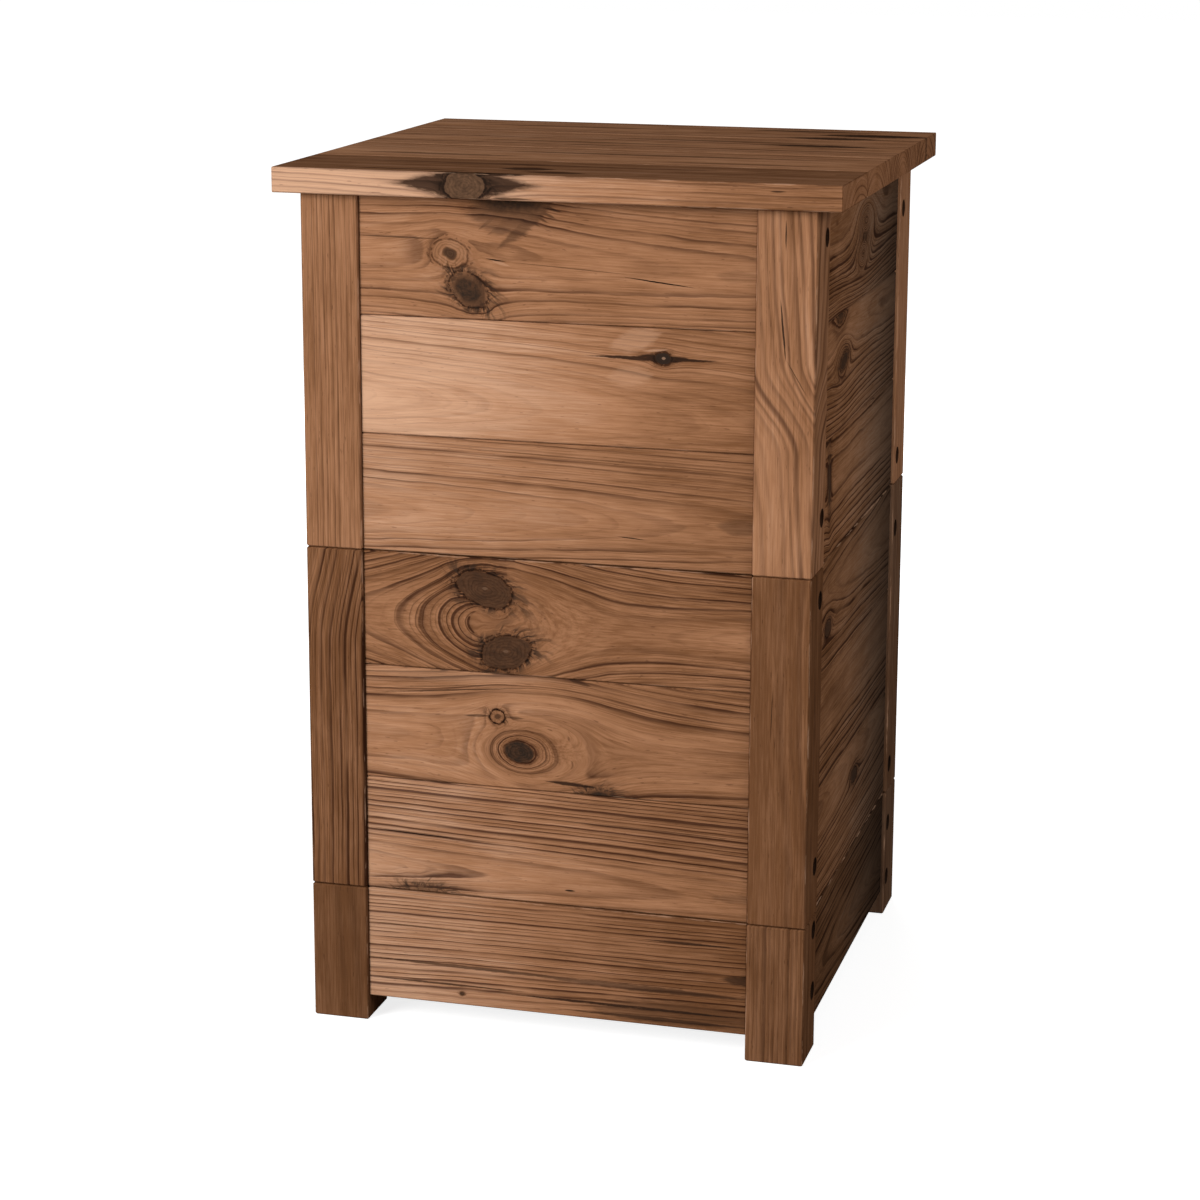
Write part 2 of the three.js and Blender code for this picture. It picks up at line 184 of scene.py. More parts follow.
FRONT = {
    "upper_tray_board_front_top": Look(
        Cut(-2, 17, 0.035, 0.025, 5.6, 0.9, 3.1, 0.52, 0.28, 1, 0.95, 0.4),
        knots=(
            Knot(-84, 4, 11, 1.38, -0.15, 3, 0.22, 1, 0.45, 0.85, 0.12, 7, 0.12),
            Knot(-69, -24, 12, 1.45, -0.6, 2, 1, 0.8, 0.12, 0.3, 1, 7, 0.55),
            Knot(-36, 52, 21, 1.7, 0, 2, 1, 0, 0.1, 0, 0, 4, 0.5, 1000, -0.4),
        ),
        streaks=(
            Streak(144, -5, 20, 7, 0, 0.22), Streak(-42, 36, 34, 20, 0, 0.4),
            Streak(-22, 29, 27, 9, 0.85, 0.6), Streak(-32, 32, 24, 11, 0.6, 0.5),
            Streak(-46, 37, 24, 8, 0.35, 0.5), Streak(-6, 42, 14, 2, -0.3, 0.8),
            Streak(-9, 38, 12, 2, -0.45, 0.7), Streak(-14, 35, 11, 2, -0.55, 0.65),
            Streak(-20, 32, 10, 2.2, -0.6, 0.6), Streak(-26, 29, 10, 2.4, -0.65, 0.55),
            Streak(-31, 24, 10, 3, -0.6, 0.45), Streak(-52, 30, 10, 3, 0.8, 0.55),
            Streak(-46, 25, 9, 3, 0.8, 0.45), Streak(-125, 15, 42, 0.9, -0.01, 0.7),
        ),
        splits=(
            Streak(-47, 0, 9, 0.55, -0.12, 1), Streak(83, -12, 30, 0.6, -0.11, 1),
            Streak(12, -4, 50, 0.35, -0.06, 0.5),
        ),
        patches=(Streak(-43, -2.4, 9, 1.5, -0.25, 0.8),),
    ),
    "upper_tray_board_front_middle": Look(
        Cut(-24, 34, 0.05, 0.03, 3.4, 1.4, 7.4, 1.0, 0.16, 1, 0.62),
        knots=(Knot(86, 21, 4.9, 1.4, 0, 3, 1.15, 1.4, 0.2, 0, 0.5, 6, 0.2),),
        streaks=(Streak(78, 20.5, 58, 2.2, 0, 1.3), Streak(84, 20.8, 30, 4, 0, 1.3)),
        patches=(
            Streak(64, 34, 24, 12, 0.3, 0.75), Streak(60, 6, 22, 11, 0.1, 0.6),
            Streak(86.5, 21.2, 1.9, 1.5, 0, 1), Streak(80, 27, 12, 1.3, 0.1, 1.2),
        ),
    ),
    "upper_tray_board_front_bottom": Look(
        Cut(-16, 28, 0.035, 0, 4.0, 1.0, 11.8, 0.66, 0.2, 0.97, 0.95),
        streaks=(
            Streak(148, -13, 22, 9, 0, 0.4), Streak(40, 33, 160, 0.9, -0.03, 0.4),
            Streak(30, 26, 160, 0.8, -0.05, 0.3),
        ),
        splits=(Streak(62, -27, 12, 0.5, -0.06, 0.9),),
    ),
    "middle_tray_board_front_top": Look(
        Cut(-5, 29, -0.03, 0, 3.3, 1.0, 15.2, 0.27, 0.2, 1, 1.8, 0.5),
        knots=(
            Knot(-57, 21, 13.8, 1.7, -0.3, 2, 0.85, 1.1, 0.35, 0, 0.9, 6, 0.1),
            Knot(-40, -29, 13.4, 1.55, 0.25, 2, 0.86, 1.1, 0.35, 0, 1, 7, 0.1),
        ),
        swells=(Swell(-47, -6, 42, 1.6, -19, 0.9, 0.78, 1),),
        patches=(Streak(-57, 22, 3, 1.6, 0, 0.3), Streak(-40, -28, 3, 1.6, 0, 0.3)),
    ),
    "middle_tray_board_front_middle": Look(
        Cut(-14, 30, 0.01, 0, 4.2, 1.8, 19.5, 0.5, 0.19, 1, 1.15),
        knots=(
            Knot(-47, 9, 5.8, 1.08, 0, 4, 0.2, 2, 0.2, 0.75, 0.6, 5, 0.12),
            Knot(-29, -19, 8.8, 1.4, -0.12, 5, 1, 0.9, 0.4, 0.3, 0, 6, 0.12),
            Knot(37, -52, 8, 1.8, 0, 2, 1, 0, 0.1, 0, 1, 7, 0.5, 1000, -0.4),
        ),
        streaks=(
            Streak(14, -42, 26, 2.1, -0.05, 1), Streak(-64, 8.5, 13, 1.5, 0.05, 0.75),
            Streak(-33, 9, 10, 1.5, 0, 0.6), Streak(-84, 28, 80, 0.8, 0.1, 0.85),
            Streak(-88, 31, 70, 0.5, 0.1, 0.6), Streak(20, 42, 12, 2, -0.25, 0.6),
        ),
        swells=(Swell(4, -14, 24, 1.4, 0), Swell(-25, -19, 24, 1.7, 14)),
        patches=(Streak(-80, 40, 90, 7, 0.02, 0.4),),
    ),
    "middle_tray_board_front_bottom": Look(
        Cut(-30, 30, 0.02, 0.01, 2.9, 1.0, 23.9, 0.72, 0.22, 1, 2.0, 0.4),
        knots=(Knot(-108, -54, 10, 2, 0, 2, 0.8, 0, 0.1, 0, 1, 7, 0.6, 1000, -0.4),),
        streaks=(
            Streak(-100, -1, 70, 0.8, -0.04, 0.7), Streak(60, 20, 110, 0.8, -0.02, 0.6),
            Streak(148, -31, 22, 5, 0, 0.35),
        ),
        splits=(Streak(-120, -1, 40, 0.5, -0.04, 0.9), Streak(13, -37, 5, 1, 0, 0.9)),
    ),
    "base_board_front": Look(
        Cut(-62, 26, -0.02, 0, 3.1, 1.2, 27.3, 0.84, 0.02, 0.97, 1.5, 0.4),
        knots=(Knot(-78, -37, 1.8, 1.3, 0, 1, 0.9, 0.3, 0.1, 0.5, 0.4, 5, 0.3),),
        streaks=(
            Streak(-60, -14, 130, 1.9, -0.01, 0.75), Streak(70, -16, 110, 3.6, -0.01, 0.7),
            Streak(60, -33, 120, 1.8, 0.0, 1), Streak(-90, -30, 80, 1.2, 0.0, 0.9),
            Streak(112, 25.5, 46, 1.3, 0.0, 0.9), Streak(160, -1.5, 26, 6, 0, 0.8),
            Streak(90, -41, 90, 2.4, 0.0, 0.85), Streak(-110, 17, 60, 1, -0.01, 0.7),
            Streak(60, 4, 110, 1.2, -0.02, 0.5), Streak(105, -35, 95, 15, 0, 0.4),
        ),
    ),
}

# The right-hand wall's boards that have marks of their own. Their cuts come from right_look

RIGHT = {
    "upper_tray_board_right_top": Look(
        knots=(Knot(4, 2, 3.2, 2.2, 0, 2, 0.8, 0.4, 0.2, 0.5, 0.5, 6, 0.5),),
        swells=(Swell(10, 15, 13, 2.3, 32), Swell(-2, -11, 11, 2.3, 28)),
    ),
    "upper_tray_board_right_middle": Look(
        knots=(
            Knot(-75, 4, 6.5, 2.6, 0.2, 6, 0.95, 0.6, 0.4, 0.3, 0.7, 8, 0.3),
            Knot(-92, 45, 7, 2.2, 0, 5, 0.85, 0.4, 0.3, 0, 0.8, 8, 0.5),
        ),
        swells=(Swell(-80, 4, 14, 1.6, 16),),
    ),
    "upper_tray_board_right_bottom": Look(
        knots=(Knot(-126, 8, 26, 0.24, 0.1, 2, 0.9, 0.3, 0.2, 0.2, 0.5, 7, 0.5, 1000, 0.3),),
    ),
    "middle_tray_board_right_top": Look(
        knots=(Knot(-120, -12, 7, 1.8, 0, 6, 0.9, 0.7, 0.4, 0.2, 0.5, 7, 0.3),),
    ),
    "middle_tray_board_right_bottom": Look(
        knots=(Knot(10, 12, 6, 2.2, 0, 6, 0.95, 0.6, 0.4, 0.2, 0.7, 8, 0.3),),
    ),
}

# The posts and legs that show. Their shade is partly painted shade, lower on the legs and down the rear
# right posts

POSTS = {
    "upper_tray_post_front_left": Look(
        Cut(-60, 40, 0, 0.004, 3.1, 1.2, 31.2, 0.32, 0.32, 0.95, 0.85, 0.5, 0.1),
    ),
    "upper_tray_post_front_right": Look(
        Cut(-46, 34, 0.02, 0.05, 5.2, 6, 35.1, 0.4, 0.4, 1, 0.8, 0.25, 1, 30, -10, 38),
        splits=(
            Streak(122, -1, 12, 0.7, 0, 0.8), Streak(50, -2, 26, 0.9, -0.1, 0.9),
            Streak(14, 9, 14, 0.5, -0.6, 0.6),
        ),
    ),
    "middle_tray_post_front_left": Look(
        Cut(-60, 40, 0, 0.0, 3.3, 1.4, 39.6, 0.1, 0.1, 0.9, 1.9, 0.5, 0.3, -16, 112, 50),
    ),
    "middle_tray_post_front_right": Look(
        Cut(-30, 30, 0.01, 0.01, 7, 5, 43.3, 0.08, 0.06, 0.8, 0.6, 0.5, 0.8),
        splits=(Streak(30, -6, 22, 0.4, 0.03, 0.6),),
    ),
    "base_leg_front_left": Look(Cut(-30, 30, 0.02, 0.02, 9, 5, 47.7, 0.12, 0.05, 0.66, 0.35, 0.4, 1)),
    "base_leg_front_right": Look(Cut(-80, 60, 0, 0.0, 2.6, 0.6, 51.9, 0.16, 0.16, 0.74, 0.8, 0.2, 0.4)),
    "upper_tray_post_rear_right": Look(Cut(-30, 40, 0, 0.01, 5, 3, 61.3, 0.5, 0.5, 1.15, 0.8, 0.4, 0.5)),
    "middle_tray_post_rear_right": Look(Cut(-34, 40, 0, 0.01, 5, 3, 67.1, 0.6, 0.8, 0.42, 0.8, 0.4, 0.5)),
    "base_leg_rear_right": Look(Cut(-28, 36, 0, 0.01, 5, 3, 71.9, 0.8, 0.8, 0.36, 0.8, 0.4, 0.5)),
}

# The lid's boards. The first has its front edge as its face, and spots on its top

LID_FRONT = "lid_board_1"
LID_TOP_TONE = 0.4
LID = {
    LID_FRONT: Look(
        knots=(Knot(-68, 0, 11.8, 1.42, 0, 3, 0.9, 1.8, 0.3, 0, 0.8, 6, 0.12, -46),),
        streaks=(
            Streak(-68, 1.5, 72, 17, 0.01, 1.7, -47, 1), Streak(-56, 9.6, 44, 2.4, 0, 1, -47),
            Streak(-30, -8.5, 20, 1.2, 0, 0.8, -47), Streak(176, 4, 7, 0.9, 0, 0.9, -47),
        ),
        topside=(
            Streak(-30, -8, 26, 14, 0, 0.85), Streak(-2, -28, 30, 9, 0, 0.8),
            Streak(-120, -34, 70, 4, 0, 0.7), Streak(-60, 20, 150, 4, 0.01, 0.5),
        ),
    ),
    "lid_board_2": Look(
        streaks=(
            Streak(40, 14, 170, 7, 0.01, 0.6), Streak(-130, -22, 90, 8, 0, 0.6),
            Streak(120, -30, 80, 6, 0, 0.5),
        ),
    ),
    "lid_board_3": Look(
        streaks=(
            Streak(150, 12, 60, 12, -0.02, 0.9), Streak(-40, -12, 130, 7, 0.01, 0.6),
            Streak(60, 30, 120, 6, 0, 0.5),
        ),
    ),
    "lid_board_4": Look(
        streaks=(
            Streak(150, -34, 50, 14, 0, 0.9), Streak(180, -4, 60, 16, 0.01, 1),
            Streak(120, 22, 70, 9, 0, 0.8), Streak(-90, 5, 110, 8, 0, 0.6),
        ),
    ),
}


def titled(key):
    """A socket's title from the word that the script uses for it."""
    return key.replace("_", " ").title()


class Value:
    """A socket that can stand in a sum. Each step of a sum is a Math or a Vector Math node."""

    def __init__(self, tree, socket):
        self.tree = tree
        self.socket = socket
        self.wide = socket.type in ("VECTOR", "RGBA")

    def __add__(self, other):
        return self.tree.math("ADD", self, other)

    def __radd__(self, other):
        return self.tree.math("ADD", other, self)

    def __sub__(self, other):
        return self.tree.math("SUBTRACT", self, other)

    def __rsub__(self, other):
        return self.tree.math("SUBTRACT", other, self)

    def __mul__(self, other):
        return self.tree.math("MULTIPLY", self, other)

    def __truediv__(self, other):
        return self.tree.math("DIVIDE", self, other)

    def __rtruediv__(self, other):
        return self.tree.math("DIVIDE", other, self)

    def __pow__(self, other):
        return self.tree.math("POWER", self, other)

    def __neg__(self):
        return self.tree.math("MULTIPLY", self, -1)

    def __abs__(self):
        return self.tree.math("ABSOLUTE", self)

    def dot(self, other):
        return self.tree.math("DOT_PRODUCT", self, other)

    def length(self):
        return self.tree.math("LENGTH", self)

    def parts(self):
        node = self.tree.node("ShaderNodeSeparateXYZ", self)
        return [Value(self.tree, output) for output in node.outputs]


class Tree:
    """Short words for wiring the nodes of one material or group."""

    def __init__(self, tree):
        self.tree = tree

    def feed(self, socket, value):
        if isinstance(value, Value):
            self.tree.links.new(value.socket, socket)
        else:
            socket.default_value = value

    def node(self, kind, *values, **settings):
        """Adds a node with its settings, and feeds its first inputs."""
        node = self.tree.nodes.new(kind)
        for key, value in settings.items():
            setattr(node, key, value)
        for socket, value in zip(node.inputs, values):
            self.feed(socket, value)
        return node

    def output(self, node, name=0):
        return Value(self, node.outputs[name])

    def math(self, operation, *values):
        """A Math node, or a Vector Math node for vectors. A vector times a number is scaled."""
        wide = [isinstance(value, tuple) or isinstance(value, Value) and value.wide for value in values]
        if not any(wide):
            return self.output(self.node("ShaderNodeMath", *values, operation=operation))
        if all(wide):
            node = self.node("ShaderNodeVectorMath", *values, operation=operation)
            return self.output(node, "Value" if operation in ("DOT_PRODUCT", "LENGTH") else "Vector")
        vector, factor = values
        node = self.node("ShaderNodeVectorMath", vector, operation="SCALE")
        self.feed(node.inputs["Scale"], factor)
        return self.output(node)

    def most(self, *values):
        return self.math("MAXIMUM", *values)

    def least(self, *values):
        return self.math("MINIMUM", *values)

    def combine(self, *values):
        return self.output(self.node("ShaderNodeCombineXYZ", *values))

    def turned(self, vector, angle):
        node = self.node("ShaderNodeVectorRotate", vector, rotation_type="Z_AXIS")
        self.feed(node.inputs["Angle"], angle)
        return self.output(node)

    def noise(self, place, detail=2, roughness=0.5, output="Fac"):
        node = self.node("ShaderNodeTexNoise", place)
        for key, value in (("Scale", 1), ("Detail", detail), ("Roughness", roughness)):
            self.feed(node.inputs[key], value)
        return self.output(node, output)

    def shake(self, place, detail, roughness, size):
        """A vector that wanders from place to place, by up to half the size each way."""
        return (self.noise(place, detail, roughness, "Color") - (0.5, 0.5, 0.5)) * size

    def noise_along(self, value, detail=1):
        node = self.node("ShaderNodeTexNoise", noise_dimensions="1D")
        for key, value in (("W", value), ("Scale", 1), ("Detail", detail)):
            self.feed(node.inputs[key], value)
        return self.output(node, "Fac")

    def chance(self, value):
        node = self.node("ShaderNodeTexWhiteNoise", noise_dimensions="1D")
        self.feed(node.inputs["W"], value)
        return self.output(node, "Value")

    def smooth(self, value, low, high, start=0, end=1):
        node = self.node("ShaderNodeMapRange", value, low, high, start, end, interpolation_type="SMOOTHSTEP")
        return self.output(node)

    def mix(self, factor, first, second, blend="MIX"):
        """Mixes colours. A Mix node keeps them at inputs 6 and 7, and their mixture at output 2."""
        node = self.node("ShaderNodeMix", factor, data_type="RGBA", blend_type=blend)
        self.feed(node.inputs[6], first)
        self.feed(node.inputs[7], second)
        return self.output(node, 2)

    def darkened(self, base, tint):
        return self.mix(1, base, tint + (1,), "MULTIPLY")

    def group(self, build, **values):
        """Places a shader group, and gives its outputs by name."""
        node = self.node("ShaderNodeGroup", node_tree=build())
        for key, value in values.items():
            self.feed(node.inputs[titled(key)], value)
        return SimpleNamespace(**{output.name.lower(): Value(self, output) for output in node.outputs})


def numbers(kind, fields=()):
    """A shader group's inputs from the fields of a named tuple, with their defaults."""
    return {key: kind._field_defaults.get(key, 0) for key in fields or kind._fields}


def shader_group(**inputs):
    """Makes a wiring function build its group at the first call, and give the same one later.

    The inputs are given with their defaults, and the function's own outputs as a dictionary.
    """
    def wrap(wire):
        title = wire.__doc__.split(".")[0]

        def build():
            group = bpy.data.node_groups.get(title)
            if group:
                return group
            group = bpy.data.node_groups.new(title, "ShaderNodeTree")
            for key, value in inputs.items():
                kind = {3: "VECTOR", 4: "RGBA"}[len(value)] if isinstance(value, tuple) else "VALUE"
                socket = group.interface.new_socket(
                    titled(key), in_out="INPUT", socket_type=SOCKET_TYPES[kind],
                )
                socket.default_value = value
            tree = Tree(group)
            entry = tree.node("NodeGroupInput")
            results = wire(tree, SimpleNamespace(**{key: tree.output(entry, titled(key)) for key in inputs}))
            for key, value in results.items():
                kind = SOCKET_TYPES[value.socket.type]
                group.interface.new_socket(titled(key), in_out="OUTPUT", socket_type=kind)
            leave = tree.node("NodeGroupOutput")
            for key, value in results.items():
                tree.feed(leave.inputs[titled(key)], value)
            return group
        return build
    return wrap


@shader_group(point=ORIGIN, middle=ORIGIN, grain=ORIGIN, across=ORIGIN, inward=ORIGIN)
def sawn_place(tree, entry):
    """Sawn Place. Turns a point of the object into millimetres along, across and into a piece."""
    offset = (entry.point - entry.middle) * (1 / MM)
    axes = (entry.grain, entry.across, entry.inward)
    return {"place": tree.combine(*(offset.dot(axis) for axis in axes))}


@shader_group(place=ORIGIN, warped=ORIGIN, near=0, **numbers(Swell))
def grain_swell(tree, entry):
    """Grain Swell. Lifts the rings aside round a branch, and closes some of them to loops."""
    x, y, _ = entry.place.parts()
    along = (x - entry.along) / entry.stretch
    along = along / tree.smooth(along, -1, 1, 1, entry.trail)
    across = y - entry.across
    turn = tree.combine(along, across).length() / entry.radius
    pull = 1 / (turn * turn + 1)
    round_top = pull * pull
    hump = tree.least(round_top, entry.level) * -entry.bulge
    steep = pull * tree.smooth(abs(entry.bulge), 4, 20, 0, 0.25)
    steep = steep * tree.smooth(along, 0, SWELL_FADE, 1, 0.35)
    right_side = tree.smooth(along, 0, SWELL_FADE) * tree.smooth(pull, 0.3, 0.6)
    flat_top = tree.smooth(round_top, entry.level, entry.level + 0.06)
    return {
        "warped": entry.warped + tree.combine(0, -(across * pull), hump),
        "near": tree.most(entry.near, steep) - tree.most(right_side, flat_top) * entry.calm,
    }


@shader_group(place=ORIGIN, warped=ORIGIN, marks=ORIGIN, inside=0, **numbers(Knot))
def branch_knot(tree, entry):
    """Branch Knot. Bends the rings round a branch, and marks its core, its bark rim and its halo."""
    radius = entry.radius
    x, y, z = entry.place.parts()
    up = y - entry.across
    level = tree.turned(tree.combine(x - entry.along, up), -entry.tilt)
    level = level / tree.combine(entry.stretch, 1, 1)
    ragged = tree.shake(entry.place * (1.1 / radius), 2, 0.5, radius * 0.42)
    bent = level + ragged * (1, 1, 0)
    far = tree.most(bent.length(), 0.01)
    turn = far / radius
    fade = tree.smooth(z, entry.reach, entry.reach + FADE_DEPTH, 1, 0)
    pull = tree.least(1 / (turn * turn), 1) * fade
    warped = entry.warped + tree.combine(0, up * pull * -entry.lift, -(entry.bulge * pull))

    grime = tree.noise(entry.place * 0.35, 3, 0.6)
    inside = tree.smooth(turn, 1 - entry.softness, entry.softness * 0.4 + 1, 1, 0) * fade
    bark = tree.smooth(abs(turn - 1), 0.01, tree.most(BARK / radius, 0.11), 1, 0)
    bark = bark * tree.smooth(grime, 0.36, 0.54, 0.25, 1)
    outer = tree.smooth(abs(turn - 1.2), 0.01, 0.09, 1, 0) * tree.smooth(grime, 0.5, 0.62, 0, 0.8)
    rim = tree.most(bark, outer) * entry.rim
    wave = tree.math("FRACT", grime * 0.7 + far * 0.5)
    rings = tree.smooth(wave, 0.35, 0.8) * tree.smooth(wave, 0.85, 1, 1, 0) * inside * entry.ringing

    heart = tree.smooth(turn, 0.34, 0.52, 1, 0)
    swirl = tree.turned(bent, turn * 0.4) * (entry.spray / far)
    spray = tree.noise(swirl + tree.combine(0, 0, turn * 1.2), 1)
    side = tree.noise(bent * (1.3 / far), 0)
    spread = tree.smooth(turn, 0.9, tree.smooth(side, 0.35, 0.65, 1.3, 2.5), 1, 0)
    spray = tree.smooth(spray, 0.44, 0.64) * spread * entry.rays * tree.smooth(turn, 0.8, 1)
    mottled = inside * tree.smooth(grime, 0.3, 0.7, 1, 0.88)
    core = tree.most(mottled * entry.core, heart * entry.heart)
    pale = tree.smooth(turn, 0.1, 0.32, 1, 0) * tree.least(entry.heart, 0)
    core = tree.most(core * (1 + pale), spray)
    core = tree.most(core, rim - 1)
    fringe = tree.smooth(turn, 0.9, 1.7, 1, 0) * tree.smooth(grime, 0.35, 0.6)
    core = tree.most(core, fringe * entry.rays * 0.75)
    marks = tree.combine(core, tree.most(rim, rings), pull) * fade
    return {
        "warped": warped,
        "marks": tree.most(entry.marks, marks),
        "inside": tree.most(entry.inside, inside * tree.smooth(radius, 0, 3)),
    }


@shader_group(place=ORIGIN, sofar=0, **numbers(Streak))
def dark_streak(tree, entry):
    """Dark Streak. A long lens along the grain with ragged ends, for a pitch streak or a split."""
    x, y, z = entry.place.parts()
    along = x - entry.along
    ragged = tree.noise(entry.place * (0.09, 0.4, 0.4), 3, 0.65)
    shake = entry.height * tree.smooth(entry.point, 1, 2, 0.35)
    across = y - entry.across - along * entry.slope + (ragged - 0.5) * shake
    lens = abs(along / entry.length) ** entry.point + abs(across / entry.height)
    mask = tree.smooth(lens, 0.45, 1, 1, 0) * tree.smooth(ragged, 0.2, 0.45, 0.75, 1) * entry.strength
    fade = tree.smooth(z, entry.reach, entry.reach + FADE_DEPTH, 1, 0)
    return {"sofar": tree.most(entry.sofar, mask * fade)}


@shader_group(warped=ORIGIN, near=0, **numbers(Cut, RING_FIELDS))
def growth_rings(tree, entry):
    """Growth Rings. Dark latewood lines of a sawn log, with a finer set between them."""
    x, y, z = entry.warped.parts()
    shifted = entry.warped + tree.combine(entry.seed * 97)
    sway = tree.shake(shifted * (0.006, 0.017, 0.017), 1.5, 0.45, entry.wander * 2)
    ripple = tree.shake(shifted * (0.025, 0.07, 0.07), 2, 0.5, entry.ring * 0.4)
    _, sway_across, sway_inward = (sway + ripple).parts()
    past = tree.smooth(x - entry.bend_at, -entry.bend_reach, entry.bend_reach)
    lean = x * entry.slant + past * entry.bend
    across = y + sway_across - (entry.pith - lean)
    inward = z + sway_inward - (x * entry.taper + entry.depth)
    count = tree.combine(across, inward).length() / entry.ring
    count = tree.noise_along(count * 0.5 + entry.seed) * 1.1 + count

    def lines(number, spread):
        """Dark lines, one to a ring, each with its own strength."""
        year = tree.math("FLOOR", number)
        part = tree.math("FRACT", number)
        rise = tree.smooth(part, 0.62, 0.86) * 0.65 + tree.smooth(part, 0.1, 0.85) * 0.35
        crisp = rise * tree.smooth(part, 0.92, 1, 1, 0)
        gentle = tree.smooth(part, 0.15, 0.7) * tree.smooth(part, 0.7, 1, 1, 0)
        line = tree.smooth(entry.soft, 0, 1, crisp, gentle)
        drift = tree.noise(tree.combine(x * 0.012, year * 1.7, entry.seed))
        strength = tree.chance(year + spread) * 0.6 + 0.4
        return line * (strength * tree.smooth(drift, 0.3, 0.6, 0.4, 1))

    broad = lines(count, entry.seed)
    fine = lines(count * 3.3, 0.5) * entry.fine
    steep = abs(across) / (abs(inward) + 1)
    upright = tree.most(tree.smooth(steep, 0.12, 0.8, 0.35, 1), tree.smooth(entry.near, 0.03, 0.25))
    late = tree.most(broad, fine) * upright * (entry.near * 0.9 + 1)
    return {"late": late, "band": tree.noise_along(count * 0.7, 2)}


@shader_group(warped=ORIGIN, seed=0)
def wood_fibre(tree, entry):
    """Wood Fibre. Fine fibres, short resin dashes and broad blotches of stain."""
    shifted = entry.warped + tree.combine(entry.seed * 61)
    fibre = tree.noise(shifted * (0.025, 0.95, 0.95), 4, 0.7)
    dash = tree.noise(shifted * (0.11, 0.8, 0.8), 1)
    blotch = tree.noise(shifted * (0.014, 0.045, 0.045), 3, 0.6)
    return {
        "fibre": tree.smooth(fibre, 0.3, 0.7),
        "dash": tree.smooth(dash, 0.69, 0.77),
        "blotch": tree.smooth(blotch, 0.2, 0.8),
    }


@shader_group(place=ORIGIN, half=ORIGIN, seed=0)
def worn_arris(tree, entry):
    """Worn Arris. Marks where the stain has rubbed off a piece's long edges, and its ends."""
    end_inset, side_inset, face_inset = (entry.half - abs(entry.place)).parts()
    shifted = entry.place + tree.combine(entry.seed * 31)
    rubbed = tree.noise(shifted * (0.03, 0.3, 0.3), 4, 0.65)
    width = tree.smooth(rubbed, 0.4, 0.7, 0.35, 1.5)
    wear = tree.smooth(tree.most(side_inset, face_inset) / width, 0.6, 1.1, 1, 0)
    return {"wear": wear, "end": tree.smooth(end_inset, 0.25, 0.6, 1, 0)}


@shader_group(
    dark_stain=WHITE, honey_stain=WHITE, pale_stain=WHITE, knot_stain=WHITE, tone=0.3, shade=1,
    contrast=0.7, late=0, band=0.5, fibre=0.5, dash=0, blotch=0.5, marks=ORIGIN, inside=0, streak=0,
    split=0, seam=0, wear=0, end=0,
)
def stained_face(tree, entry):
    """Stained Face. Lays stain over the rings, fibres, knots, streaks and splits of a piece."""
    core, rim, halo = entry.marks.parts()
    tone = (entry.band - 0.5) * 0.42 + entry.tone
    tone = (entry.blotch - 0.5) * 0.28 + tone
    tone = (entry.fibre - 0.5) * 0.3 + tone
    base = tree.mix(tree.smooth(tone, -0.1, 0.6), entry.dark_stain, entry.honey_stain)
    base = tree.mix(tree.smooth(tone, 0.4, 1.2), base, entry.pale_stain)
    # Shade darkens the stain: partly a deeper stain, partly painted shade where less light falls
    base = tree.mix(1, base, tree.combine(entry.shade, entry.shade, entry.shade), "MULTIPLY")
    base = tree.mix(entry.end * 0.75, base, tree.darkened(base, TINTS["end grain"]))
    outside = 1 - entry.inside
    late = tree.darkened(base, TINTS["latewood"])
    skin = tree.mix(entry.late * entry.contrast * outside, base, late)
    skin = tree.mix(halo * outside * 0.65, skin, tree.darkened(skin, TINTS["halo"]))
    skin = tree.mix(entry.inside * core, skin, tree.darkened(skin, TINTS["warm core"]))
    skin = tree.mix(core, skin, entry.knot_stain)
    skin = tree.mix(rim * 0.85, skin, tree.darkened(skin, TINTS["bark"]))
    # Pitch streaks, and the painted shade in the counterbores, take the pitch colour
    pitch = tree.mix(0.5, entry.knot_stain, tree.darkened(skin, TINTS["pitch"]))
    skin = tree.mix(entry.streak * outside, skin, pitch)
    skin = tree.mix(entry.dash * 0.45, skin, late)
    # Painted shade in the seams, along each board's long edges
    skin = tree.mix(entry.seam * 0.5, skin, tree.darkened(skin, TINTS["seam"]))
    skin = tree.mix(entry.wear * 0.35, skin, entry.pale_stain)
    height = entry.late * outside * 0.1 + entry.fibre * 0.05
    return {
        "color": tree.mix(entry.split, skin, SPLIT_COLOUR),
        "roughness": entry.fibre * 0.14 + 0.68 - core * 0.14,
        "height": height - rim * 0.12 - entry.dash * 0.08 - entry.split * 0.8,
    }


@shader_group(point=ORIGIN, screw=ORIGIN, radius=7 * MM, sofar=0)
def bore_shade(tree, entry):
    """Bore Shade. Stain and dirt that gathered round a screw's counterbore."""
    far = ((entry.point - entry.screw) * (0, 1, 1)).length() / entry.radius
    return {"sofar": tree.most(entry.sofar, tree.smooth(far, 1, 1.15, 1, 0))}


def new_material(name):
    """A material with one Principled shader, its tree and the shader's inputs."""
    material = bpy.data.materials.new(name)
    material.use_nodes = True
    material.node_tree.nodes.clear()
    tree = Tree(material.node_tree)
    shader = tree.node("ShaderNodeBsdfPrincipled")
    tree.node("ShaderNodeOutputMaterial", tree.output(shader))
    return material, tree, shader.inputs


def object_point(tree):
    return tree.output(tree.node("ShaderNodeTexCoord"), "Object")


def relief(tree, height, distance=MM):
    bump = tree.node("ShaderNodeBump")
    tree.feed(bump.inputs["Distance"], distance)
    tree.feed(bump.inputs["Height"], height)
    return tree.output(bump)


